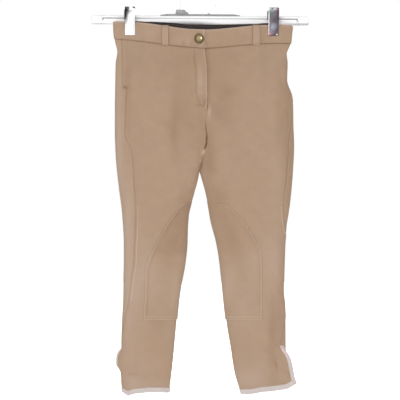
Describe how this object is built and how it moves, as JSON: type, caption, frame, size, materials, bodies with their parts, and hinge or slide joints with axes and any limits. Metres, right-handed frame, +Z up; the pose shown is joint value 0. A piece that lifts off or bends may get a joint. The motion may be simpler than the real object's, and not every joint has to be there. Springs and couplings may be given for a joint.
{
  "type": "riding breeches on a clip hanger",
  "caption": "Child's beige stretch riding breeches with knee patches and bound hem vents, hanging by the waistband from a white clip hanger.",
  "frame": {"origin": "inside top of the hanger hook's crown, where a rail carries it", "axes": "+Z up along the hanging garment, +X to the wearer's left, +Y towards the garment's back"},
  "size_m": [0.395, 0.0444, 0.7502],
  "materials": {
    "breeches_fabric": "matte brushed stretch twill",
    "lining_fabric": "matte dark textured band lining",
    "binding_fabric": "matte folded tape",
    "button_brass": "aged polish",
    "bar_plastic": "gloss",
    "boss_plastic": "satin",
    "clip_metal": "polished"
  },
  "bodies": {
    "root": {"front_right": "breeches_fabric", "front_left": "breeches_fabric", "back_right": "breeches_fabric", "back_left": "breeches_fabric", "waistband_front_right": "breeches_fabric", "waistband_front_left": "breeches_fabric", "waistband_back": "breeches_fabric", "waistband_lining": "lining_fabric", "knee_patch_right": "breeches_fabric", "knee_patch_left": "breeches_fabric", "hem_binding_right": "binding_fabric", "hem_binding_left": "binding_fabric", "belt_loop_front_right": "breeches_fabric", "belt_loop_front_left": "breeches_fabric", "belt_loop_back_right": "breeches_fabric", "belt_loop_back_middle": "breeches_fabric", "belt_loop_back_left": "breeches_fabric", "button": "button_brass", "hanger_bar": "bar_plastic", "hanger_cap_right": "bar_plastic", "hanger_cap_left": "bar_plastic", "hanger_saddle": "bar_plastic", "hook_boss": "boss_plastic", "saddle_stud": "boss_plastic", "hook": "clip_metal", "clip_front_right": "clip_metal", "clip_back_right": "clip_metal", "clip_spring_right": "clip_metal", "clip_slider_right": "clip_metal", "clip_front_left": "clip_metal", "clip_back_left": "clip_metal", "clip_spring_left": "clip_metal", "clip_slider_left": "clip_metal"}
  },
  "joints": []
}
